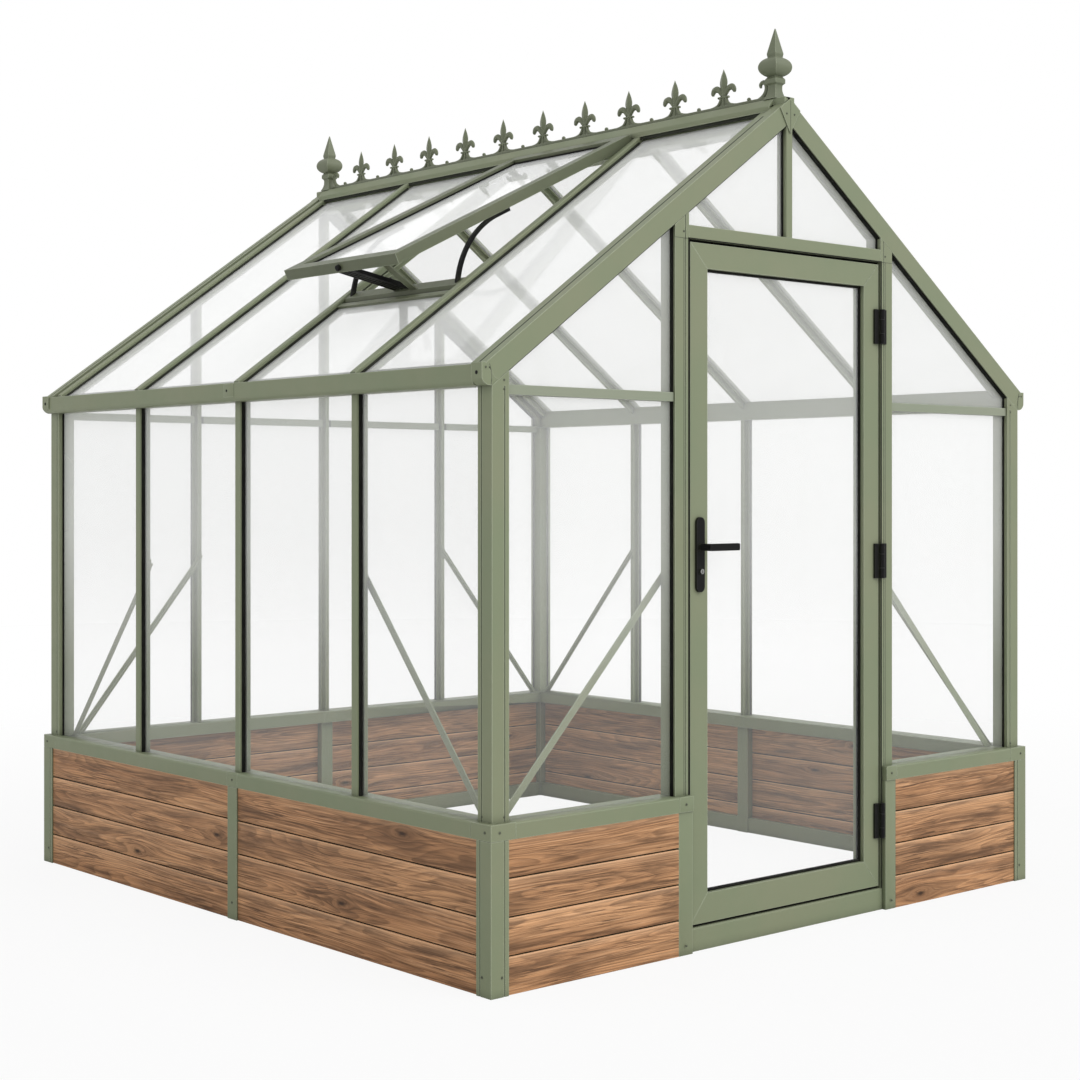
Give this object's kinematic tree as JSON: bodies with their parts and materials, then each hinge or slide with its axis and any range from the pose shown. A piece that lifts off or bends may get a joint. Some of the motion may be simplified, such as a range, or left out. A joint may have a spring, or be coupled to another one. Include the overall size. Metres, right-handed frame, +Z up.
{
  "type": "greenhouse",
  "caption": "Gabled glass greenhouse with a sage green metal frame on a plank-clad dwarf wall, with a hinged glazed door, a roof vent propped open and a ridge crested with fleurs-de-lis.",
  "frame": {"origin": "on the ground, under the middle of the base plan", "axes": "+X across the gables, to the right as seen from outside the door; +Y along the ridge, from the door gable to the back gable; +Z up"},
  "size_m": [2.536, 2.676, 2.8754],
  "materials": {
    "sage_metal": "satin sage green powder coat on aluminium extrusions",
    "wood_planks": "warm brown planks with a low sheen",
    "clear_glass": "clear toughened glass, smooth",
    "black_metal": "satin black coated metal"
  },
  "bodies": {
    "frame": {"apex_plates": "sage_metal", "back_gable_bars": "sage_metal", "base_bottom_rails": "sage_metal", "base_posts": "sage_metal", "base_rail_joints": "sage_metal", "base_top_rails": "sage_metal", "corner_posts": "sage_metal", "door_head": "sage_metal", "door_posts": "sage_metal", "door_sill": "sage_metal", "eaves_beams": "sage_metal", "finials": "sage_metal", "frame_hinges": "black_metal", "gable_base_panels": "wood_planks", "gable_glass": "clear_glass", "gutter_brackets": "sage_metal", "gutters": "sage_metal", "king_post": "sage_metal", "left_rafters": "sage_metal", "ridge_beam": "sage_metal", "ridge_cap": "sage_metal", "ridge_cresting": "sage_metal", "right_rafters": "sage_metal", "roof_bars": "sage_metal", "roof_glass": "clear_glass", "side_base_panels": "wood_planks", "transoms": "sage_metal", "vent_end_rails": "sage_metal", "vent_glass": "clear_glass", "vent_knob": "black_metal", "vent_opener_arms": "black_metal", "vent_opener_tube": "sage_metal", "vent_side_rails": "sage_metal", "vent_sill": "sage_metal", "wall_bars": "sage_metal", "wall_braces": "sage_metal", "wall_glass": "clear_glass"},
    "door": {"door_stiles": "sage_metal", "door_rails": "sage_metal", "door_glass": "clear_glass", "handle_plates": "black_metal", "door_hinges": "black_metal"},
    "lever": {"outer_lever": "black_metal", "inner_lever": "black_metal", "lever_spindle": "black_metal"}
  },
  "joints": [
    {"name": "door_hinge", "type": "hinge", "parent": "frame", "child": "door", "pos_m": [0.451, -1.309, 1.115], "axis": [0, 0, 1], "range_deg": [0, 110]},
    {"name": "lever_turn", "type": "hinge", "parent": "door", "child": "lever", "pos_m": [-0.4095, -1.2735, 1.225], "axis": [0, 1, 0], "range_deg": [0, 40], "stiffness_Nm_per_rad": 1.5}
  ]
}
